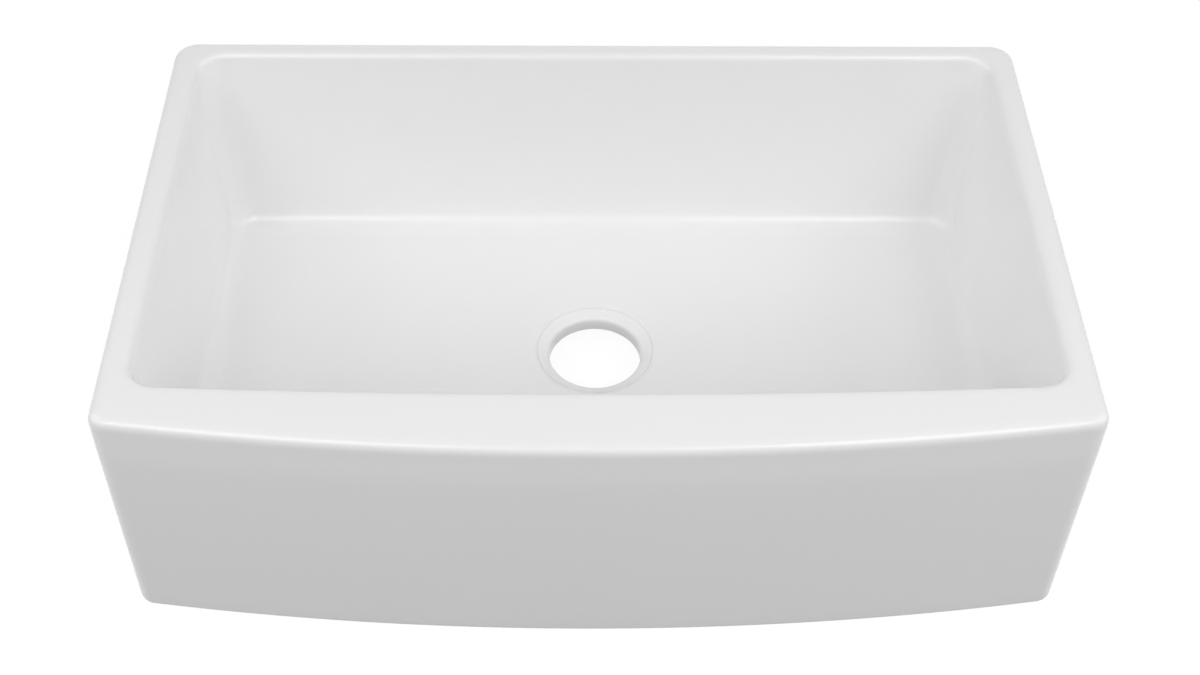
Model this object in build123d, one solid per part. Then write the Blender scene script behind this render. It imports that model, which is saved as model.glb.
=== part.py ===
from build123d import *
from math import cos, degrees, radians, sin, sqrt, tan
import os

# A farmhouse apron front sink: one thick fired bowl with a bowed apron, and the open drain mount in its outlet.
# Millimetres, +Z up. The origin is on the surface that the sink stands on, under the middle of its overall
# width and depth. The apron faces -Y, and +X is to the right of someone who stands at the sink.

# ---- The fired body, outside ----
width = 838.0  # across the rim
corner_depth = 502.0  # from the back face to the apron's two corners, at the rim
bow = 31.0  # how far the apron's middle stands out past its corners
height = 254.0
draft = 0.3  # degrees that the outer walls lean in from the rim to the base
back_corner_r = 23.0
front_corner_r = 18.0
rim_edge_r = 11.0  # rounding of the rim's outer edge
base_edge_r = 4.0  # rounding where the outer walls meet the foot

# ---- The bowl ----
side_rim = 27.0  # width of the rim at each side
back_rim = 25.0
front_rim = 45.0  # at the apron's corners, and the bow makes it wider towards the middle
inner_bow = 9.0  # how far the bowl's own front wall bows out
bowl_corner_r = 24.0  # upright corners of the bowl, at the rim
floor_corner_r = 30.0  # the same corners, at the floor
bowl_lean = 2.6  # degrees that the bowl's walls lean in from the rim to the floor
inner_edge_r = 9.0  # rounding from the rim into the bowl
floor_r = 20.0  # rounding from the bowl's walls into its floor
floor_height = 43.0  # the floor above the base, where it meets the walls
floor_fall = 6.0  # how much lower the floor is at the edge of the drain's dish

# ---- The outlet in the floor ----
drain_from_back = 219.5  # from the back face to the outlet's axis
outlet_d = 94.0  # the bare hole
dish_d = 129.0  # the round dish that leads the floor down to the flange
dish_slope = 22.0  # degrees that the dish ends at, and that the flange's lip goes on at
seat_thickness = 6.0  # fired material left under the seat, where it meets the hole

# ---- The underside ----
foot_width = 24.0  # the ring that the sink stands on, at the sides and the back
foot_edge_r = 3.0  # rounding of the foot's inner edge
recess_edge_r = 6.0  # rounding in the recess under the floor
apron_wall = 20.0  # the apron's own thickness at its foot
front_wall = 20.0  # the bowl's front wall, behind the hollow
hollow_width = 430.0  # the hollow between the apron and the bowl's front wall
hollow_roof = 24.0  # fired material left over the hollow
hollow_corner_r = 4.0

# ---- Drain flange: a lip in the dish and a plain sleeve through the outlet ----
lip_width = 11.1  # how far the lip reaches out past the bare hole
lip_thickness = 0.8
lip_roll_r = 2.4  # how the lip rolls over into the sleeve
lip_side_gap = 1.0  # between the lip and the dish's edge, which the seal fills
sleeve_wall = 0.8
sleeve_gap = 0.2  # between the sleeve and the bare hole
sleeve_end = 0.4  # sleeve left below the snap ring's groove
seal_thickness = 1.0
seal_play = 0.05  # between the seal's upturned edge and what it fills the gap between

# ---- Rings that clamp the flange from below ----
ring_gap = 0.5  # between the sleeve and each ring that slides over it
mount_d = 126.2
mount_thickness = 1.8
gasket_inset = 5.0  # how far the gasket stays back from the mounting ring's edge
gasket_thickness = 1.0
backup_inset = 2.0  # how far the backup ring stays back from it
backup_thickness = 1.0
screw_gap = 0.6  # opened by the screws between the backup ring and the mounting ring
snap_section = 1.2  # height of the snap ring
snap_reach = 1.9  # how far it stands out of the sleeve
snap_groove = 0.5  # depth of its groove in the sleeve
snap_play = 0.1  # left under it in the groove
snap_opening = 14.0  # degrees left open in the ring

# ---- Mounting screws ----
screw_count = 3
screw_d = 5.0
screw_play = 0.05  # between a screw and its hole, all round
screw_offset = 0.4  # from the middle of the mounting ring's width out to a screw's axis
screw_stand_off = 1.8  # from the mounting ring down to a head
head_d = 9.0
head_height = 2.6
head_edge_r = 0.6
slot_width = 1.2
slot_depth = 1.2

# ---- Lock ring: turns under the mounting ring and hangs on its ears ----
ear_count = 3
ear_reach = 5.0  # how far the ears stand out of the mounting ring
ear_thickness = 1.6
ear_lead = 3.0  # degrees of ear past the tab, on the side that the tab leaves by
stop_angle = 3.0  # degrees of the upright stop at an ear's other end
tab_angle = 30.0  # degrees
tab_overlap = 3.5  # how far the tabs reach over the ears
lock_gap = 0.3  # between the tabs and the ears
side_gap = 1.0  # between the ears' tips and the lock ring's wall
lock_wall = 1.6
lock_flange = 8.5  # width of the lock ring's bottom flange
lock_height = 9.9
lug_width = 12.0
lug_reach = 9.0
lug_hole_d = 5.5

# ---- Places worked out from the sizes above ----
back_y = (corner_depth + bow) / 2
corner_y = back_y - corner_depth
base_inset = height * tan(radians(draft))
bow_r = ((width / 2) ** 2 + bow**2) / (2 * bow)

drain_y = back_y - drain_from_back
floor_z = floor_height - floor_fall

dish_r = dish_d / 2
outlet_r = outlet_d / 2
outlet_edge_r = lip_roll_r - lip_thickness
lip_r = outlet_r + lip_width
seat_r = lip_r + lip_side_gap
dish_end_z = floor_z - (dish_r - seat_r) * tan(radians(dish_slope / 2))
sleeve_r = outlet_r - sleeve_gap
throat_r = sleeve_r - sleeve_wall
ring_r = sleeve_r + ring_gap
mount_r = mount_d / 2


def lip_z(radius, depth=0.0):
    """The height of the lip's sloping top at a radius, or of a surface that lies depth below it."""
    return dish_end_z - (seat_r - radius) * tan(radians(dish_slope)) - depth / cos(radians(dish_slope))


seat_depth = lip_thickness + seal_thickness
recess_z = lip_z(outlet_r, seat_depth) - seat_thickness
gasket_z = recess_z - gasket_thickness
backup_z = gasket_z - backup_thickness
mount_z = backup_z - screw_gap - mount_thickness
snap_z = mount_z - snap_section
sleeve_z = snap_z - snap_play - sleeve_end

ear_r = mount_r + ear_reach
ear_top_z = mount_z + ear_thickness
tab_z = ear_top_z + lock_gap
lock_inner_r = ear_r + side_gap
lock_r = lock_inner_r + lock_wall
lock_z = tab_z + lock_wall - lock_height

ear_pitch = 360 / ear_count
screw_pitch = 360 / screw_count
first_ear = 30.0
first_screw = 90.0
nudge = 1.0  # how far a boss reaches into what it is joined to, or a cutter past a face


def apron_y(x):
    """Where the apron's outer face is at the rim, x from the middle."""
    return corner_y - (sqrt(bow_r**2 - x**2) - (bow_r - bow))


def polar(radius, angle):
    return (radius * cos(radians(angle)), radius * sin(radians(angle)))


def bowed_outline(half_width, rear, corner, sagitta, rear_r, corner_r):
    """A closed outline seen from above: straight sides and back, and a front edge that bows out by sagitta."""
    straight = Polyline((half_width, corner), (half_width, rear), (-half_width, rear), (-half_width, corner))
    front = ThreePointArc((-half_width, corner), (0, corner - sagitta), (half_width, corner))
    outline = make_face(straight + front)
    outline = fillet(outline.vertices().group_by(Axis.Y)[-1], rear_r)
    return fillet(outline.vertices().group_by(Axis.Y)[0], corner_r)


def hanging_prism(outline, top, depth, lean):
    """The outline at height top, carried down by depth while every wall leans in by lean degrees."""
    risen = extrude(outline, amount=depth, taper=lean)
    return Pos(0, 0, top) * mirror(risen, Plane.XY)


def at_drain(shape, z=0.0):
    return Pos(0, drain_y, z) * shape


def turned(profile, angle=360.0):
    """A flat profile drawn in (radius, height), turned about the drain's axis."""
    return at_drain(revolve(Plane.XZ * profile, Axis.Z, angle))


def ring(outer_r, inner_r, z, thickness):
    """A flat ring about the drain's axis, with its underside at height z."""
    return at_drain(extrude(Circle(outer_r) - Circle(inner_r), amount=thickness), z)


def sector(outer_r, inner_r, start, end, z, thickness):
    """The part of a flat ring between two directions, in degrees."""
    middle = (start + end) / 2
    outer = ThreePointArc(polar(outer_r, start), polar(outer_r, middle), polar(outer_r, end))
    inner = ThreePointArc(polar(inner_r, end), polar(inner_r, middle), polar(inner_r, start))
    sides = Line(outer @ 1, inner @ 0) + Line(inner @ 1, outer @ 0)
    return at_drain(extrude(make_face(outer + inner + sides), amount=thickness), z)


def bowl_outline(inset, corner_r):
    """The bowl's outline, moved in from the rim's inner edge by inset."""
    half_width = width / 2 - side_rim - inset
    rear = back_y - back_rim - inset
    corner = corner_y + front_rim + inset
    return bowed_outline(half_width, rear, corner, inner_bow, corner_r, corner_r)


def bowl_space():
    """The room inside the bowl: leaning walls, then a floor that falls from a level edge to the drain's dish."""
    opening = Pos(0, 0, height) * bowl_outline(0, bowl_corner_r)
    lean_inset = (height - floor_height) * tan(radians(bowl_lean))
    floor_edge = Pos(0, 0, floor_height) * bowl_outline(lean_inset, floor_corner_r)
    dish_edge = at_drain(Circle(dish_r), floor_z).faces()[0]
    space = loft([opening.faces()[0], floor_edge.faces()[0]], ruled=True)
    space += loft([floor_edge.faces()[0], dish_edge], ruled=True)
    level_edges = space.edges().filter_by_position(Axis.Z, floor_height - 0.01, floor_height + 0.01)
    return fillet(level_edges, floor_r)


def rounded(outline, corner, r):
    """The outline with its corner nearest to a point rounded."""
    at = outline.vertices().sort_by_distance(corner)[0]
    return fillet(at, r)


def outlet_space():
    """The dish, the flange's sloping seat and the hole through the floor, with the hole's upper edge rounded."""
    slope = TangentArc((dish_r, floor_z), (seat_r, dish_end_z), tangent=(-1, 0))
    seat_edge = (seat_r, lip_z(seat_r, seat_depth))
    hole_edge = (outlet_r, lip_z(outlet_r, seat_depth))
    below = recess_z - nudge
    seat = [(seat_r, dish_end_z), seat_edge, hole_edge, (outlet_r, below)]
    middle = [(0, below), (0, floor_z), (dish_r, floor_z)]
    outline = make_face(slope + Polyline(*seat, *middle))
    return turned(rounded(outline, hole_edge, outlet_edge_r))


def recess_space():
    """The shallow recess under the floor, inside the ring that the sink stands on."""
    half_width = width / 2 - base_inset - foot_width
    rear = back_y - base_inset - foot_width
    corner = apron_y(half_width) + base_inset + apron_wall
    sagitta = apron_y(half_width) - apron_y(0)
    outline = bowed_outline(half_width, rear, corner, sagitta, bowl_corner_r, bowl_corner_r)
    space = extrude(outline, amount=recess_z)
    return fillet(space.faces().sort_by(Axis.Z)[-1].edges(), recess_edge_r)


def hollow_space():
    """The hollow between the apron and the bowl's front wall, open at the foot."""
    half_width = hollow_width / 2
    rear = corner_y + front_rim - inner_bow - front_wall
    end_y = apron_y(half_width) + base_inset + apron_wall
    middle_y = apron_y(0) + base_inset + apron_wall
    straight = Polyline((half_width, end_y), (half_width, rear), (-half_width, rear), (-half_width, end_y))
    front = ThreePointArc((-half_width, end_y), (0, middle_y), (half_width, end_y))
    corner_r = min(hollow_corner_r, 0.4 * (rear - end_y))
    outline = make_face(straight + front)
    outline = fillet(outline.vertices(), corner_r)
    space = extrude(outline, amount=height - hollow_roof)
    return fillet(space.faces().sort_by(Axis.Z)[-1].edges(), corner_r)


def sink_body():
    outline = bowed_outline(width / 2, back_y, corner_y, bow, back_corner_r, front_corner_r)
    body = hanging_prism(outline, height, height, draft)
    body = fillet(body.faces().sort_by(Axis.Z)[-1].edges(), rim_edge_r)
    body = fillet(body.faces().sort_by(Axis.Z)[0].edges(), base_edge_r)
    body -= bowl_space()
    body -= recess_space() + hollow_space()
    body -= outlet_space()
    rim = body.faces().sort_by(Axis.Z)[-1]
    body = fillet(rim.inner_wires()[0].edges(), inner_edge_r)
    foot = body.faces().sort_by(Axis.Z)[0]
    return fillet(foot.inner_wires()[0].edges(), foot_edge_r)


def drain_flange():
    """The lip that lies in the dish, rolled over into a sleeve with a groove for the snap ring near its end."""
    groove_r = sleeve_r - snap_groove
    groove_z = snap_z - snap_play
    top_bend = (throat_r, lip_z(throat_r))
    under_bend = (sleeve_r, lip_z(sleeve_r, lip_thickness))
    inside = [(lip_r, lip_z(lip_r)), top_bend, (throat_r, sleeve_z), (sleeve_r, sleeve_z)]
    groove = [(sleeve_r, groove_z), (groove_r, groove_z), (groove_r, mount_z), (sleeve_r, mount_z)]
    outside = [under_bend, (lip_r, lip_z(lip_r, lip_thickness))]
    outline = make_face(Polyline(*inside, *groove, *outside, close=True))
    outline = rounded(outline, top_bend, lip_roll_r)
    return turned(rounded(outline, under_bend, lip_roll_r - sleeve_wall))


def flange_seal():
    """A sloping ring between the lip and its seat, with an edge turned up to fill the gap round the lip."""
    outer_r = seat_r - seal_play
    edge_r = lip_r + seal_play
    inner_r = outlet_r + outlet_edge_r
    edge = [(outer_r, lip_z(outer_r)), (edge_r, lip_z(edge_r)), (edge_r, lip_z(edge_r, lip_thickness))]
    inside = [(inner_r, lip_z(inner_r, lip_thickness)), (inner_r, lip_z(inner_r, seat_depth))]
    under = (outer_r, lip_z(outer_r, seat_depth))
    return turned(make_face(Polyline(*edge, *inside, under, close=True)))


def fibre_gasket():
    return ring(mount_r - gasket_inset, ring_r, gasket_z, gasket_thickness)


def backup_ring():
    return ring(mount_r - backup_inset, ring_r, backup_z, backup_thickness)


def screw_places():
    circle_r = (ring_r + mount_r) / 2 + screw_offset
    return [polar(circle_r, first_screw + i * screw_pitch) for i in range(screw_count)]


def mounting_ring():
    """A flat ring tapped for the screws, with ears for the lock ring and a stop at one end of each ear."""
    body = ring(mount_r, ring_r, mount_z, mount_thickness)
    stop_gap = degrees(lock_gap / ear_r)
    for i in range(ear_count):
        middle = first_ear + i * ear_pitch
        stop_end = middle - tab_angle / 2 - stop_gap
        stop_start = stop_end - stop_angle
        ear_end = middle + tab_angle / 2 + ear_lead
        body += sector(ear_r, mount_r - nudge, stop_start, ear_end, mount_z, ear_thickness)
        stop_height = ear_thickness + lock_gap + lock_wall
        body += sector(ear_r, ear_r - tab_overlap, stop_start, stop_end, mount_z, stop_height)
    for x, y in screw_places():
        hole = extrude(Circle(screw_d / 2 + screw_play), amount=mount_thickness + 2 * nudge)
        body -= at_drain(Pos(x, y, 0) * hole, mount_z - nudge)
    return body


def mounting_screws():
    """Slotted screws that stand on end: their tips push the backup ring up, and their heads hang below."""
    head_top = mount_z - screw_stand_off
    head_z = head_top - head_height
    head = extrude(Circle(head_d / 2), amount=head_height)
    head = fillet(head.faces().sort_by(Axis.Z)[0].edges(), head_edge_r)
    slot = Pos(0, 0, slot_depth / 2) * Box(head_d + nudge, slot_width, slot_depth)
    shank = Pos(0, 0, head_height) * extrude(Circle(screw_d / 2), amount=backup_z - head_top)
    screw = head - slot + shank
    placed = [at_drain(Pos(x, y, head_z) * screw) for x, y in screw_places()]
    return Compound([one.solid() for one in placed])


def snap_ring():
    """A flat open ring sprung into the sleeve's groove, under the mounting ring."""
    inner_r = sleeve_r - snap_groove
    outer_r = sleeve_r + snap_reach
    corners = [(inner_r, snap_z), (outer_r, snap_z), (outer_r, mount_z), (inner_r, mount_z)]
    return turned(make_face(Polyline(*corners, close=True)), 360 - snap_opening)


def turning_lug():
    """One flat eye on the outside of the lock ring, for a pin to turn it by."""
    end_x = lock_r + lug_reach - lug_width / 2
    root_x = lock_r - lock_wall / 2
    arm = Pos((root_x + end_x) / 2, 0) * Rectangle(end_x - root_x, lug_width)
    eye = Pos(end_x, 0) * Circle(lug_width / 2)
    hole = Pos(end_x, 0) * Circle(lug_hole_d / 2)
    return extrude(arm + eye - hole, amount=lock_wall)


def lock_ring():
    """A shallow cup with three tabs that reach in over the mounting ring's ears, and three lugs to turn it by."""
    body = ring(lock_r, lock_inner_r, lock_z, lock_height) + ring(lock_r, lock_r - lock_flange, lock_z, lock_wall)
    for i in range(ear_count):
        middle = first_ear + i * ear_pitch
        start = middle - tab_angle / 2
        root_r = lock_r - lock_wall / 2
        body += sector(root_r, ear_r - tab_overlap, start, start + tab_angle, tab_z, lock_wall)
        body += at_drain(Rot(0, 0, middle + ear_pitch / 2) * turning_lug(), lock_z)
    return body


NODES = [
    sink_body,
    drain_flange,
    flange_seal,
    fibre_gasket,
    backup_ring,
    mounting_ring,
    mounting_screws,
    snap_ring,
    lock_ring,
]

os.makedirs("parts", exist_ok=True)
for make in NODES:
    export_step(make(), f"parts/{make.__name__}.step")
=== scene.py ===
from math import acos, atan2, cos, hypot, pi, radians, sin, sqrt, tan

import bmesh
import bpy
import numpy as np
from mathutils import Matrix, Vector, noise


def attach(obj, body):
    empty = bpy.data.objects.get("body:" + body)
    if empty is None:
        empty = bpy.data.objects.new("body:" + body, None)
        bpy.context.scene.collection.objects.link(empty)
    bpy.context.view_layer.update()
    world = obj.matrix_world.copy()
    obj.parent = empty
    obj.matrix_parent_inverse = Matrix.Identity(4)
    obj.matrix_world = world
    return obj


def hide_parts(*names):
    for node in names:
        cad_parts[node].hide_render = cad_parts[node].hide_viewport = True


# The looks of a farmhouse apron front sink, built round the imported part. Profiles are in millimetres, and are
# scaled down to metres as each mesh is made.

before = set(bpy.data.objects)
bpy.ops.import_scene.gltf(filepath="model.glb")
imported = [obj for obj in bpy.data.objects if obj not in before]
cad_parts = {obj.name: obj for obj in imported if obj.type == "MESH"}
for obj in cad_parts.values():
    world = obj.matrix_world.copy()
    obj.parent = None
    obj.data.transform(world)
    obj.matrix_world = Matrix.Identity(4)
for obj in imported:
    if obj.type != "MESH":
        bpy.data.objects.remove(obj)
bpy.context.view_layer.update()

MM = 0.001

# ---- Sizes shared with the part ----
HEIGHT = 254.0
OUTER = dict(half=419.0, rear=266.5, corner=-235.5, bow=31.0, rear_r=23.0, front_r=18.0)
BOWL = dict(half=392.0, rear=241.5, corner=-190.5, bow=9.0, rear_r=24.0, front_r=24.0)
BOWL_DEEP_R = 30.0  # the bowl's upright corners at the floor
RECESS = dict(half=393.67, rear=241.17, corner=-217.82, bow=27.35, rear_r=24.0, front_r=24.0)
RECESS_Z = 23.12
RECESS_EDGE_R = 6.0
FOOT_EDGE_R = 3.0
BASE_EDGE_R = 4.0
FLOOR_EDGE_Z = 43.0
FLOOR_R = 20.0
DRAFT = 0.3  # degrees
BOWL_LEAN = 2.6  # degrees
BASE_INSET = HEIGHT * tan(radians(DRAFT))
BOWL_INSET = (HEIGHT - FLOOR_EDGE_Z) * tan(radians(BOWL_LEAN))
APRON_WALL = 20.0
FRONT_WALL = 20.0
HOLLOW_HALF = 215.0
HOLLOW_CORNER_R = 4.0
DRAIN_Y = 47.0
DISH_R = 64.5
DISH_Z = 37.0
DISH_TURN = 22.0  # degrees
SEAT_R = 59.1
SEAT_DEPTH = 1.8
OUTLET_R = 47.0
LIP_R = 58.1
LIP_THICKNESS = 0.8
THROAT_R = 46.0
SLEEVE_R = 46.8
SLEEVE_Z = 17.02
GROOVE_R = 46.3
GROOVE_Z = 17.42
MOUNT_Z = 18.72
SEAL_PLAY = 0.05

# ---- Sizes that the dressed pieces have in place of the part's ----
RIM_EDGE_R = 10.6  # 11 in the part
INNER_EDGE_R = 8.6  # 9 in the part
LIP_ROLL_R = 4.4  # 2.4 in the part

# ---- Sizes of the dressing alone ----
APRON_EASE = dict(span=44.0, depth=1.8)  # how far below the rim a wall starts to curve in, and by how much
BACK_WALL_EASE = dict(span=36.0, depth=1.5)
EASE_PEAK = 27 / 4  # makes the largest value of t * t * (1 - t) come to 1
SLOW_UNEVENNESS = 0.28
QUICK_UNEVENNESS = 0.07
SETTLE_FADE = 40.0  # the distance over which the unevenness dies away towards the seat
SEAL_BEAD = 0.8

# ---- How many steps go round each part of a loop ----
SIDE_STEPS = 44
BACK_STEPS = 76
FRONT_STEPS = 76
CORNER_STEPS = 10
LOOP = 2 * SIDE_STEPS + BACK_STEPS + FRONT_STEPS + 4 * CORNER_STEPS
LEAST_CORNER_R = 1.2
LEAST_TURN = 0.45  # added to each step round the drain, as a share of an even step, so that none closes up

# ---- How many steps go down each part of a profile ----
EDGE_STEPS = 8
LATHED_EDGE_STEPS = 5
RIM_STEPS = 4
FLOOR_STEPS = 22
FLOOR_SPREAD = 0.9  # below 1, so that the floor's loops lie closer together near the dish
DISH_STEPS = 9
CEILING_STEPS = 16
LATHE_STEPS = 224

# ---- Rows of the sink's skin that the glaze leaves bare ----
BARE_FOOT_ROWS = 2  # the first rows, under the foot
BARE_HOLE_ROWS = 9  # the last rows of the hole, at its lower edge


def outline(shape, inset, rounder=0.0):
    """LOOP points, anticlockwise from above, of an outline moved inwards by inset.

    Its sides and back are straight, its front is bowed, and its corners' radii grow by rounder.
    """
    half, rear, corner, bow = shape["half"], shape["rear"], shape["corner"], shape["bow"]
    big_r = (half**2 + bow**2) / (2 * bow)
    big_y = corner - bow + big_r
    rear_r = max(shape["rear_r"] - inset + rounder, LEAST_CORNER_R)
    front_r = max(shape["front_r"] - inset + rounder, LEAST_CORNER_R)
    rear_c = (half - inset - rear_r, rear - inset - rear_r)
    front_x = half - inset - front_r
    front_y = big_y - sqrt((big_r - inset - front_r) ** 2 - front_x**2)
    front_turn = atan2(front_y - big_y, front_x)
    points = []

    def straight(a, b, steps):
        for k in range(steps):
            t = k / steps
            points.append((a[0] + (b[0] - a[0]) * t, a[1] + (b[1] - a[1]) * t))

    def turn(centre, r, start, end, steps):
        for k in range(steps):
            a = start + (end - start) * k / steps
            points.append((centre[0] + r * cos(a), centre[1] + r * sin(a)))

    right = half - inset
    back = rear - inset
    straight((right, front_y), (right, rear_c[1]), SIDE_STEPS)
    turn(rear_c, rear_r, 0, pi / 2, CORNER_STEPS)
    straight((rear_c[0], back), (-rear_c[0], back), BACK_STEPS)
    turn((-rear_c[0], rear_c[1]), rear_r, pi / 2, pi, CORNER_STEPS)
    straight((-right, rear_c[1]), (-right, front_y), SIDE_STEPS)
    turn((-front_x, front_y), front_r, -pi, -pi - front_turn, CORNER_STEPS)
    turn((0, big_y), big_r - inset, -pi - front_turn, front_turn, FRONT_STEPS)
    turn((front_x, front_y), front_r, front_turn, 0, CORNER_STEPS)
    return np.array(points)


def eased_corner(before, at, after, r, steps):
    """Points round a corner of a profile.

    They lie on a curve that bends gently at both ends and is about r round in the middle.
    """
    a, v, b = Vector(before), Vector(at), Vector(after)
    into, out = (v - a).normalized(), (b - v).normalized()
    turn_angle = acos(max(-1.0, min(1.0, into.dot(out))))
    longer_than_arc = 1.3
    grip = 0.7325  # how far the curve's handles reach to the corner, as a share
    reach = longer_than_arc * r * tan(turn_angle / 2)
    p0, p3 = v - into * reach, v + out * reach
    p1, p2 = p0 + into * reach * grip, p3 - out * reach * grip
    found = []
    for k in range(steps + 1):
        t = k / steps
        u = 1 - t
        found.append(p0 * u**3 + p1 * 3 * u * u * t + p2 * 3 * u * t * t + p3 * t**3)
    return found


def profile(corners, longest=12.0):
    """A smooth run of points, no further apart than longest, through (across, height, radius) corners."""
    path = [Vector(corners[0][:2])]
    for k in range(1, len(corners) - 1):
        before, at, after = (c[:2] for c in corners[k - 1 : k + 2])
        path += eased_corner(before, at, after, corners[k][2], EDGE_STEPS)
    path.append(Vector(corners[-1][:2]))
    filled = [path[0]]
    for p in path[1:]:
        gap = (p - filled[-1]).length
        if gap < 1e-4:
            continue
        steps = max(1, int(gap / longest + 0.999))
        start = filled[-1]
        filled += [start.lerp(p, (k + 1) / steps) for k in range(steps)]
    return filled


def loops_of(shape, corners, rounder_per_depth=0.0):
    """One loop of 3-D points for each point of a profile given as (inset, height, radius).

    The loops' corner radii grow by rounder_per_depth for each millimetre below the rim.
    """
    found = []
    for inset, z in profile(corners):
        flat = outline(shape, inset, rounder_per_depth * (HEIGHT - z))
        found.append(np.column_stack([flat, np.full(LOOP, z)]))
    return found


def circle_turns(edge):
    """Directions from the drain's axis that follow a loop's own points, and never crowd together."""
    raw = np.unwrap(np.arctan2(edge[:, 1] - DRAIN_Y, edge[:, 0]))
    steps = np.diff(np.append(raw, raw[0] + 2 * pi))
    steps = np.maximum(steps, 0) + LEAST_TURN * 2 * pi / LOOP
    steps *= 2 * pi / steps.sum()
    return raw[0] + np.concatenate([[0], np.cumsum(steps)[:-1]])


def circle(turns, r, z):
    """A loop round the drain's axis, with a point in each of the given directions."""
    return np.column_stack([r * np.cos(turns), DRAIN_Y + r * np.sin(turns), np.full(len(turns), z)])


def shares_of(steps):
    """The shares of the way at which loops lie that divide it into even steps."""
    return [k / steps for k in range(1, steps)]


def between(a, b, shares):
    """Loops that lie between two others, each at a share of the way."""
    return [a * (1 - t) + b * t for t in shares]


def lip_z(r, depth=0.0):
    """The height of the lip's sloping top at a radius, or of a surface that lies depth below it."""
    slope = radians(DISH_TURN)
    end_z = DISH_Z - (DISH_R - SEAT_R) * tan(slope / 2)
    return end_z - (SEAT_R - r) * tan(slope) - depth / cos(slope)


def dish_bend():
    """The radius, in section, that the dish's rounded edge is bent to."""
    return (DISH_R - SEAT_R) / sin(radians(DISH_TURN))


def dish_z(r):
    """The height of the dish's rounded edge at a radius between the seat and the dish's rim."""
    bend = dish_bend()
    return DISH_Z - bend + sqrt(bend**2 - (DISH_R - r) ** 2)


def floor_height(x, y):
    """The bowl's floor: level near the walls, then falling gently to the drain's dish."""
    reach = BOWL_INSET + FLOOR_R
    walls = [
        BOWL["half"] - reach - x,
        BOWL["half"] - reach + x,
        BOWL["rear"] - reach - y,
        y - (BOWL["corner"] + reach - BOWL["bow"] * (1 - (x / BOWL["half"]) ** 2)),
    ]
    least = 0.5
    bulge = 0.5  # how much the floor stays up on its way to the dish
    to_wall = sum(np.maximum(w, least) ** -2.0 for w in walls) ** -0.5
    to_dish = np.maximum(np.hypot(x, y - DRAIN_Y) - DISH_R, 0)
    share = to_dish / (to_dish + to_wall)
    return DISH_Z + (FLOOR_EDGE_Z - DISH_Z) * (share + bulge * share * (1 - share))


def bands(loop_count, size, closed):
    """Quads that join loops of size points one after another, and the last to the first where closed."""
    faces = []
    for k in range(loop_count if closed else loop_count - 1):
        a, b = k * size, (k + 1) % loop_count * size
        for i in range(size):
            j = (i + 1) % size
            faces.append((a + i, a + j, b + j, b + i))
    return faces


def linked(name, mesh):
    """A smooth-shaded object for a mesh, in the scene."""
    made = bpy.data.objects.new(name, mesh)
    bpy.context.scene.collection.objects.link(made)
    mesh.polygons.foreach_set("use_smooth", [True] * len(mesh.polygons))
    return made


def mesh_object(name, loops, faces):
    """An object from loops in millimetres."""
    mesh = bpy.data.meshes.new(name)
    mesh.from_pydata([tuple(p * MM) for p in np.concatenate(loops)], [], faces)
    mesh.validate()
    mesh.update()
    return linked(name, mesh)


def skin(name, loops):
    """Joins loops of equal length, and the last to the first, into one closed surface of quads."""
    return mesh_object(name, loops, bands(len(loops), len(loops[0]), True))


def applied(obj):
    """Gives obj the mesh that its modifiers make, and removes them."""
    depsgraph = bpy.context.evaluated_depsgraph_get()
    final = bpy.data.meshes.new_from_object(obj.evaluated_get(depsgraph))
    old = obj.data
    obj.modifiers.clear()
    obj.data = final
    bpy.data.meshes.remove(old)


def sink_loops():
    """The loops of the sink's whole skin, from under the foot over the rim and back.

    With them comes the number of loops in each part.
    """
    outer = loops_of(
        OUTER,
        [
            (14.0, 0.0, 0),
            (BASE_INSET, 0.0, BASE_EDGE_R),
            (0.0, HEIGHT, RIM_EDGE_R),
            (13.9, HEIGHT, 0),
        ],
    )
    bowl = loops_of(
        BOWL,
        [
            (-10.8, HEIGHT, 0),
            (0.0, HEIGHT, INNER_EDGE_R),
            (BOWL_INSET, FLOOR_EDGE_Z, FLOOR_R),
            (BOWL_INSET + 26.0, FLOOR_EDGE_Z - 0.15, 0),
        ],
        (BOWL_DEEP_R - BOWL["rear_r"] + BOWL_INSET) / (HEIGHT - FLOOR_EDGE_Z),
    )
    rim = between(outer[-1], bowl[0], shares_of(RIM_STEPS))

    edge = bowl[-1]
    turns = circle_turns(edge)
    dish_edge = circle(turns, DISH_R, DISH_Z)
    floor = between(edge, dish_edge, [share**FLOOR_SPREAD for share in shares_of(FLOOR_STEPS)])
    for loop in floor:
        loop[:, 2] = floor_height(loop[:, 0], loop[:, 1])

    bend = dish_bend()
    dish = []
    for k in range(1, DISH_STEPS):
        a = radians(DISH_TURN) * k / DISH_STEPS
        dish.append((DISH_R - bend * sin(a), DISH_Z - bend * (1 - cos(a))))
    seat_top_r = SEAT_R + 0.45
    seat_and_hole = [
        (seat_top_r, dish_z(seat_top_r), 0),
        (SEAT_R, lip_z(SEAT_R), 0.2),
        (SEAT_R, lip_z(SEAT_R, SEAT_DEPTH), 0.3),
        (OUTLET_R, lip_z(OUTLET_R, SEAT_DEPTH), LIP_ROLL_R - LIP_THICKNESS),
        (OUTLET_R, RECESS_Z, 1.0),
        (OUTLET_R + 6.0, RECESS_Z, 0),
    ]
    hole = [circle(turns, r, z) for r, z in dish + profile(seat_and_hole, longest=4.0)]

    recess = loops_of(
        RECESS,
        [
            (9.0, RECESS_Z, 0),
            (0.0, RECESS_Z, RECESS_EDGE_R),
            (0.0, 0.0, FOOT_EDGE_R),
            (-5.0, 0.0, 0),
        ],
    )
    ceiling = between(hole[-1], recess[0], shares_of(CEILING_STEPS))
    parts = [outer, rim, bowl, floor, hole, ceiling, recess]
    return sum(parts, []), [len(p) for p in parts]


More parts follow.
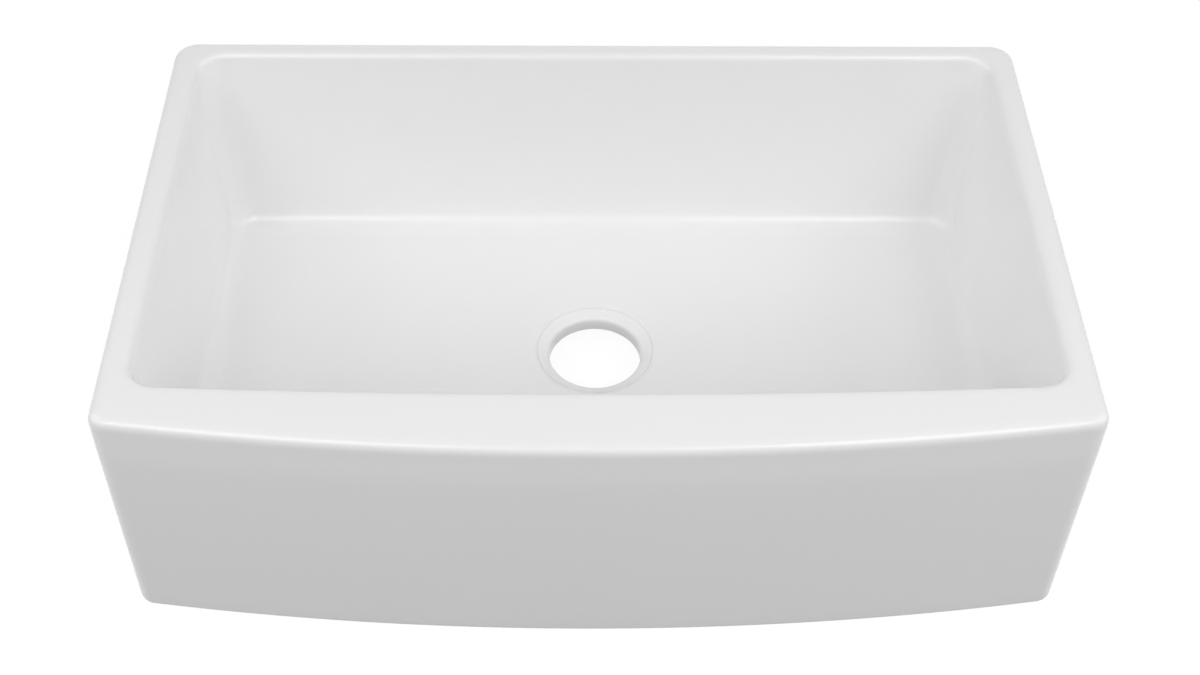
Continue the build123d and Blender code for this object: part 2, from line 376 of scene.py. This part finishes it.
def slow_noise(p, scale, seed):
    """A noise from 0 to 1 that changes over about scale metres."""
    return 0.5 + 0.5 * noise.noise(Vector((p.x / scale + seed, p.y / scale - seed, p.z / scale + 2 * seed)))


def settle(obj):
    """The gentle unevenness of a hand-finished fired body, always inwards, so that it stays in its box."""
    mesh = obj.data
    foot_top = 2.0 * MM
    normals = [v.normal.copy() for v in mesh.vertices]
    for v, n in zip(mesh.vertices, normals):
        p = v.co
        slow = slow_noise(p, scale=0.19, seed=3.1)
        quick = slow_noise(p, scale=0.07, seed=7.7)
        from_outlet = hypot(p.x, p.y - DRAIN_Y * MM) / MM
        share = min(max((from_outlet - SEAT_R - 1.0) / SETTLE_FADE, 0.0), 1.0)
        depth = (SLOW_UNEVENNESS * slow + QUICK_UNEVENNESS * quick) * share * share * (3 - 2 * share) * MM
        if p.z < foot_top:
            continue
        v.co = p - n * depth
    mesh.update()


def ease_upper_wall(obj, in_front, span, depth):
    """Curves the top of a wall that looks towards the front gently back, so that it meets the rim softly.

    in_front takes the apron, which lies in front of the middle, and otherwise it is the bowl's back wall.
    """
    mesh = obj.data
    apron_end_y = OUTER["corner"] + OUTER["front_r"]
    normals = [v.normal.copy() for v in mesh.vertices]
    for v, n in zip(mesh.vertices, normals):
        height_share = (v.co.z / MM - HEIGHT) / span + 1
        flat = Vector((n.x, n.y, 0))
        if height_share <= 0 or flat.length < 0.02 or n.y > 0 or in_front != (v.co.y < 0):
            continue
        if in_front and v.co.y / MM > apron_end_y:
            continue
        flat.normalize()
        eased = EASE_PEAK * height_share**2 * (1 - height_share)
        v.co -= flat * depth * MM * eased * flat.y**2
    mesh.update()


def hollow_cutter():
    """The space between the apron and the bowl's front wall, from inside the recess up."""
    rear = BOWL["corner"] - BOWL["bow"] - FRONT_WALL
    big_r = (OUTER["half"] ** 2 + OUTER["bow"] ** 2) / (2 * OUTER["bow"])
    centre_y = OUTER["corner"] - OUTER["bow"] + big_r
    wall_r = big_r - APRON_WALL - BASE_INSET
    r = HOLLOW_CORNER_R
    turn_steps = 6
    front_steps = 24

    def front(x):
        return centre_y - sqrt(wall_r**2 - x**2)

    def plan(inset):
        """The hollow's outline from above, moved inwards by inset."""
        points = []
        w, b = HOLLOW_HALF - inset, rear - inset
        edge_y = front(w) + inset

        def turn(x, y, start):
            for k in range(turn_steps + 1):
                a = start + pi / 2 * k / turn_steps
                points.append((x + r * cos(a), y + r * sin(a)))

        turn(w - r, b - r, 0)
        turn(-w + r, b - r, pi / 2)
        turn(-w + r, edge_y + r, pi)
        for k in range(1, front_steps):
            x = (-w + r) + (2 * w - 2 * r) * k / front_steps
            points.append((x, front(x) + inset))
        turn(w - r, edge_y + r, 3 * pi / 2)
        return np.array(points)

    upright = [(0.0, 6.0), (0.0, 60.0), (0.0, 120.0), (0.0, 180.0), (0.0, 222.0)]
    rounded_top = [(0.4, 227.0), (1.6, 229.4), (3.0, 230.0)]
    loops = []
    for inset, z in upright + rounded_top:
        flat = plan(inset)
        loops.append(np.column_stack([flat, np.full(len(flat), z)]))
    size = len(loops[0])
    last = (len(loops) - 1) * size
    caps = [tuple(reversed(range(size))), tuple(range(last, last + size))]
    return mesh_object("hollow_cutter", loops, bands(len(loops), size, False) + caps)


# ---- Materials ----
def material(name):
    """A new material, its node tree and its shader."""
    made = bpy.data.materials.new(name)
    made.use_nodes = True
    return made, made.node_tree, made.node_tree.nodes["Principled BSDF"]


def socket(node, name, value):
    node.inputs[name].default_value = value


def noise_of(tree, scale, detail=2.0, rough=0.5):
    """A noise in the object's own coordinates."""
    texture = tree.nodes.new("ShaderNodeTexNoise")
    socket(texture, "Scale", scale)
    socket(texture, "Detail", detail)
    socket(texture, "Roughness", rough)
    place = tree.nodes.new("ShaderNodeTexCoord").outputs["Object"]
    tree.links.new(place, texture.inputs["Vector"])
    return texture.outputs["Fac"]


def vary(tree, shader, name, factor, low, high):
    """Lets a noise take a shader input from low to high, where each is a grey number or three numbers."""
    node = tree.nodes.new("ShaderNodeValToRGB")
    for element, position, colour in zip(node.color_ramp.elements, (0.3, 0.7), (low, high)):
        element.position = position
        rgb = (colour,) * 3 if isinstance(colour, float) else colour
        element.color = (*rgb, 1)
    tree.links.new(factor, node.inputs["Fac"])
    tree.links.new(node.outputs["Color"], shader.inputs[name])


def bumps(tree, shader, heights):
    """Adds bumps; each is (height output, distance in metres, strength)."""
    last = None
    for height, distance, strength in heights:
        node = tree.nodes.new("ShaderNodeBump")
        socket(node, "Distance", distance)
        socket(node, "Strength", strength)
        tree.links.new(height, node.inputs["Height"])
        if last:
            tree.links.new(last, node.inputs["Normal"])
        last = node.outputs["Normal"]
    tree.links.new(last, shader.inputs["Normal"])


def glaze(name, tone):
    made, tree, shader = material(name)
    vary(tree, shader, "Base Color", noise_of(tree, 5.0, 3.0), tone * 0.992, tone)
    vary(tree, shader, "Roughness", noise_of(tree, 14.0), 0.18, 0.23)
    socket(shader, "IOR", 1.52)
    ripples = (noise_of(tree, 45.0, 1.0), 0.0001, 0.35)
    pits = (noise_of(tree, 160.0, 1.0), 0.00003, 0.3)
    bumps(tree, shader, [ripples, pits])
    return made


def fired_clay(name):
    made, tree, shader = material(name)
    vary(tree, shader, "Base Color", noise_of(tree, 30.0, 5.0, 0.6), (0.70, 0.66, 0.58), (0.80, 0.77, 0.70))
    socket(shader, "Roughness", 0.85)
    grit = (noise_of(tree, 900.0, 3.0, 0.7), 0.0004, 0.5)
    swells = (noise_of(tree, 120.0, 2.0), 0.0006, 0.3)
    bumps(tree, shader, [grit, swells])
    return made


def metal(name, low, high, rough):
    made, tree, shader = material(name)
    vary(tree, shader, "Base Color", noise_of(tree, 60.0, 4.0, 0.6), low, high)
    vary(tree, shader, "Roughness", noise_of(tree, 140.0, 3.0, 0.6), rough, rough + 0.14)
    socket(shader, "Metallic", 1.0)
    bumps(tree, shader, [(noise_of(tree, 400.0, 3.0, 0.6), 0.00005, 0.4)])
    return made


def matt(name, low, high, rough, grain, grain_depth):
    made, tree, shader = material(name)
    vary(tree, shader, "Base Color", noise_of(tree, grain / 3, 5.0, 0.65), low, high)
    socket(shader, "Roughness", rough)
    bumps(tree, shader, [(noise_of(tree, grain, 4.0, 0.7), grain_depth, 0.5)])
    return made


GLAZE = glaze("white_glaze", 0.91)
ENAMEL = glaze("white_enamel", 0.91)
CLAY = fired_clay("bare_fired_clay")
SEAL = matt("seal_rubber", (0.88, 0.88, 0.88), (0.91, 0.91, 0.91), 0.28, 700.0, 0.00001)
FIBRE = matt("pressed_fibre", (0.20, 0.11, 0.06), (0.32, 0.19, 0.11), 0.85, 500.0, 0.0003)
PLATED = metal("plated_steel", (0.50, 0.49, 0.46), (0.62, 0.61, 0.58), 0.26)
SCREW = metal("screw_steel", (0.46, 0.45, 0.42), (0.60, 0.58, 0.53), 0.22)
SPRING = metal("spring_steel", (0.10, 0.10, 0.11), (0.17, 0.17, 0.18), 0.30)


# ---- The pieces ----
def build_sink():
    loops, counts = sink_loops()
    sink = skin("glazed_sink", loops)
    ease_upper_wall(sink, True, **APRON_EASE)
    ease_upper_wall(sink, False, **BACK_WALL_EASE)
    settle(sink)
    sink.data.materials.append(GLAZE)
    sink.data.materials.append(CLAY)
    parts_to_hole = 5
    glazed_rows = sum(counts[:parts_to_hole]) - BARE_HOLE_ROWS
    for k, polygon in enumerate(sink.data.polygons):
        row = k // LOOP
        polygon.material_index = 0 if BARE_FOOT_ROWS <= row < glazed_rows else 1
    cutter = hollow_cutter()
    cutter.data.materials.append(CLAY)
    cut = sink.modifiers.new("hollow", "BOOLEAN")
    cut.operation = "DIFFERENCE"
    cut.solver = "EXACT"
    cut.material_mode = "TRANSFER"
    cut.object = cutter
    applied(sink)
    bpy.data.objects.remove(cutter)
    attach(sink, "sink")
    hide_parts("sink_body")


def lathed(name, corners):
    """A closed profile of (radius, height, rounding) corners, turned about the drain's axis."""
    turns = np.linspace(0, 2 * pi, LATHE_STEPS, endpoint=False)
    path = []
    for k, at in enumerate(corners):
        before, after = corners[k - 1], corners[(k + 1) % len(corners)]
        if at[2] > 0:
            path += eased_corner(before[:2], at[:2], after[:2], at[2], LATHED_EDGE_STEPS)
        else:
            path.append(Vector(at[:2]))
    return skin(name, [circle(turns, r, z) for r, z in path])


def build_flange():
    flange = lathed(
        "drain_flange_lip",
        [
            (THROAT_R, lip_z(THROAT_R), LIP_ROLL_R),
            (THROAT_R, SLEEVE_Z, 0.2),
            (SLEEVE_R, SLEEVE_Z, 0.2),
            (SLEEVE_R, GROOVE_Z, 0.1),
            (GROOVE_R, GROOVE_Z, 0.1),
            (GROOVE_R, MOUNT_Z, 0.1),
            (SLEEVE_R, MOUNT_Z, 0.1),
            (SLEEVE_R, lip_z(SLEEVE_R, LIP_THICKNESS), LIP_ROLL_R - LIP_THICKNESS),
            (LIP_R, lip_z(LIP_R, LIP_THICKNESS), 0.2),
            (LIP_R, lip_z(LIP_R), 0.25),
        ],
    )
    flange.data.materials.append(ENAMEL)
    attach(flange, "sink")
    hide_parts("drain_flange")


def build_seal():
    """The soft ring under the lip. Its upturned edge swells into a thin bead that laps over the joint."""
    inner_r = OUTLET_R + LIP_ROLL_R - LIP_THICKNESS
    outer_r = SEAT_R - SEAL_PLAY
    edge_r = LIP_R + SEAL_PLAY
    middle_r = (outer_r + edge_r) / 2
    neck = 0.3  # how deep in the joint the bead starts
    feather = 0.02  # how far its edges end below the surfaces they meet
    proud = 0.06  # how far its middle stands up
    seal = lathed(
        "flange_seal_bead",
        [
            (inner_r, lip_z(inner_r, LIP_THICKNESS), 0),
            (inner_r, lip_z(inner_r, SEAT_DEPTH), 0),
            (outer_r, lip_z(outer_r, SEAT_DEPTH), 0),
            (outer_r, lip_z(outer_r, neck), 0),
            (outer_r + SEAL_BEAD, dish_z(outer_r + SEAL_BEAD) - feather, 0),
            (middle_r, lip_z(middle_r, -proud), 1.5),
            (edge_r - SEAL_BEAD, lip_z(edge_r - SEAL_BEAD, feather), 0),
            (edge_r, lip_z(edge_r, neck), 0),
            (edge_r, lip_z(edge_r, LIP_THICKNESS), 0),
        ],
    )
    seal.data.materials.append(SEAL)
    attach(seal, "sink")
    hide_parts("flange_seal")


def dressed(node, finish, width, body):
    """A copy of a CAD node with its sharp edges eased by width, in place of that node."""
    same_face = radians(0.5)
    bevel_from = radians(35)
    shade_sharp_from = radians(38)
    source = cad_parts[node]
    mesh = bpy.data.meshes.new(node + "_eased")
    work = bmesh.new()
    work.from_mesh(source.data)
    bmesh.ops.remove_doubles(work, verts=work.verts, dist=1e-6)
    flat = [e for e in work.edges if len(e.link_faces) == 2 and e.calc_face_angle(0) < same_face]
    bmesh.ops.dissolve_edges(work, edges=flat, use_verts=True)
    sharp = [e for e in work.edges if len(e.link_faces) == 2 and e.calc_face_angle(0) > bevel_from]
    bmesh.ops.bevel(
        work,
        geom=sharp,
        offset=width * MM,
        offset_type="OFFSET",
        segments=2,
        profile=0.6,
        affect="EDGES",
        clamp_overlap=True,
    )
    work.to_mesh(mesh)
    work.free()
    made = linked(node + "_eased", mesh)
    mesh.set_sharp_from_angle(angle=shade_sharp_from)
    mesh.materials.append(finish)
    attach(made, body)
    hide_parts(node)


build_sink()
build_flange()
build_seal()
dressed("fibre_gasket", FIBRE, 0.15, "sink")
dressed("backup_ring", PLATED, 0.2, "sink")
dressed("mounting_ring", PLATED, 0.2, "sink")
dressed("mounting_screws", SCREW, 0.15, "sink")
dressed("snap_ring", SPRING, 0.15, "sink")
dressed("lock_ring", PLATED, 0.25, "lock")

# ---- Floor and world ----
FLOOR_HALF = 7.0  # metres
FLOOR_LIT = 0.32  # the grey that the floor throws light back with
FLOOR_GLOW = 0.93  # the white that it shows, with a faint grey over it that takes the sink's shadow
FLOOR_FAINT = 0.10
WORLD_FILL = 0.2
WORLD_WHITE = 1.0


def grey(value):
    return (value, value, value, 1)


def seen_directly(tree):
    """1 for camera, glossy and transmission rays, otherwise 0."""
    path = tree.nodes.new("ShaderNodeLightPath")
    total = path.outputs["Is Camera Ray"]
    for name in ("Is Glossy Ray", "Is Transmission Ray"):
        add = tree.nodes.new("ShaderNodeMath")
        add.operation = "MAXIMUM"
        tree.links.new(total, add.inputs[0])
        tree.links.new(path.outputs[name], add.inputs[1])
        total = add.outputs[0]
    return total


def lit_and_seen(tree, lit, seen, out):
    """Sends one shader out for the rays that light things, and another for those that see directly."""
    mix = tree.nodes.new("ShaderNodeMixShader")
    tree.links.new(seen_directly(tree), mix.inputs[0])
    tree.links.new(lit.outputs[0], mix.inputs[1])
    tree.links.new(seen.outputs[0], mix.inputs[2])
    tree.links.new(mix.outputs[0], out.inputs["Surface"])


def floor_material():
    made = bpy.data.materials.new("pale_floor")
    made.use_nodes = True
    tree = made.node_tree
    tree.nodes.clear()
    lit = tree.nodes.new("ShaderNodeBsdfDiffuse")
    socket(lit, "Color", grey(FLOOR_LIT))
    glow = tree.nodes.new("ShaderNodeEmission")
    socket(glow, "Color", grey(1))
    socket(glow, "Strength", FLOOR_GLOW)
    faint = tree.nodes.new("ShaderNodeBsdfDiffuse")
    socket(faint, "Color", grey(FLOOR_FAINT))
    shown = tree.nodes.new("ShaderNodeAddShader")
    tree.links.new(glow.outputs[0], shown.inputs[0])
    tree.links.new(faint.outputs[0], shown.inputs[1])
    lit_and_seen(tree, lit, shown, tree.nodes.new("ShaderNodeOutputMaterial"))
    return made


def background(tree, strength):
    node = tree.nodes.new("ShaderNodeBackground")
    socket(node, "Color", grey(1))
    socket(node, "Strength", strength)
    return node


def world_light():
    world = bpy.data.worlds.new("studio")
    world.use_nodes = True
    tree = world.node_tree
    tree.nodes.clear()
    fill = background(tree, WORLD_FILL)
    white = background(tree, WORLD_WHITE)
    lit_and_seen(tree, fill, white, tree.nodes.new("ShaderNodeOutputWorld"))
    bpy.context.scene.world = world


floor_mesh = bpy.data.meshes.new("floor")
floor_corners = [(x * FLOOR_HALF, y * FLOOR_HALF, 0) for x, y in ((-1, -1), (1, -1), (1, 1), (-1, 1))]
floor_mesh.from_pydata(floor_corners, [], [(0, 1, 2, 3)])
floor = bpy.data.objects.new("floor", floor_mesh)
bpy.context.scene.collection.objects.link(floor)
floor_mesh.materials.append(floor_material())
world_light()

# ---- Lamps ----
SINK_MIDDLE = (0, 0, 0.15)


def softbox(name, at, width, depth, power):
    """A rectangular lamp that is aimed at the middle of the sink. Lengths in metres, power in watts."""
    light = bpy.data.lights.new(name, "AREA")
    light.shape = "RECTANGLE"
    light.size = width
    light.size_y = depth
    light.energy = power
    light.use_shadow = True
    made = bpy.data.objects.new(name, light)
    made.location = at
    made.visible_camera = False
    toward = (Vector(SINK_MIDDLE) - Vector(at)).normalized()
    made.rotation_mode = "QUATERNION"
    made.rotation_quaternion = toward.to_track_quat("-Z", "Y")
    bpy.context.scene.collection.objects.link(made)
    return made


softbox("front_left", at=(-1.0, -1.5, 2.1), width=1.2, depth=1.8, power=18.9)
softbox("front_right", at=(1.0, -1.5, 2.1), width=1.2, depth=1.8, power=20.3)
softbox("left", at=(-3.0, -0.2, 1.8), width=3.0, depth=3.0, power=33.5)
softbox("right", at=(3.0, -0.2, 1.8), width=3.0, depth=3.0, power=38.0)
behind = softbox("behind", at=(0, 3.4, 1.0), width=2.6, depth=1.6, power=27.0)
behind.visible_glossy = False

# ---- Camera, fitted to the outline in the photograph ----
CAMERA_AT = (-0.02616, -1.16361, 1.35005)
CAMERA_YAW = 0.02554
CAMERA_DOWN = 0.81955
CAMERA_ROLL = 0.01927
FOCAL_PIXELS = 1770.83
PHOTO_WIDTH = 1200

lens = bpy.data.cameras.new("photo_camera")
camera = bpy.data.objects.new("photo_camera", lens)
bpy.context.scene.collection.objects.link(camera)
lens.sensor_fit = "HORIZONTAL"
lens.sensor_width = 36.0
lens.lens = FOCAL_PIXELS / PHOTO_WIDTH * lens.sensor_width
lens.clip_end = 60.0
forward = Vector(
    (sin(CAMERA_YAW) * cos(CAMERA_DOWN), cos(CAMERA_YAW) * cos(CAMERA_DOWN), -sin(CAMERA_DOWN))
)
right = Vector((cos(CAMERA_YAW), -sin(CAMERA_YAW), 0))
up = right.cross(forward)
rolled_right = right * cos(CAMERA_ROLL) + up * sin(CAMERA_ROLL)
rolled_up = up * cos(CAMERA_ROLL) - right * sin(CAMERA_ROLL)
turned = Matrix((rolled_right, rolled_up, -forward)).transposed().to_4x4()
camera.matrix_world = Matrix.Translation(CAMERA_AT) @ turned
bpy.context.scene.camera = camera
bpy.context.scene.view_settings.view_transform = "Standard"
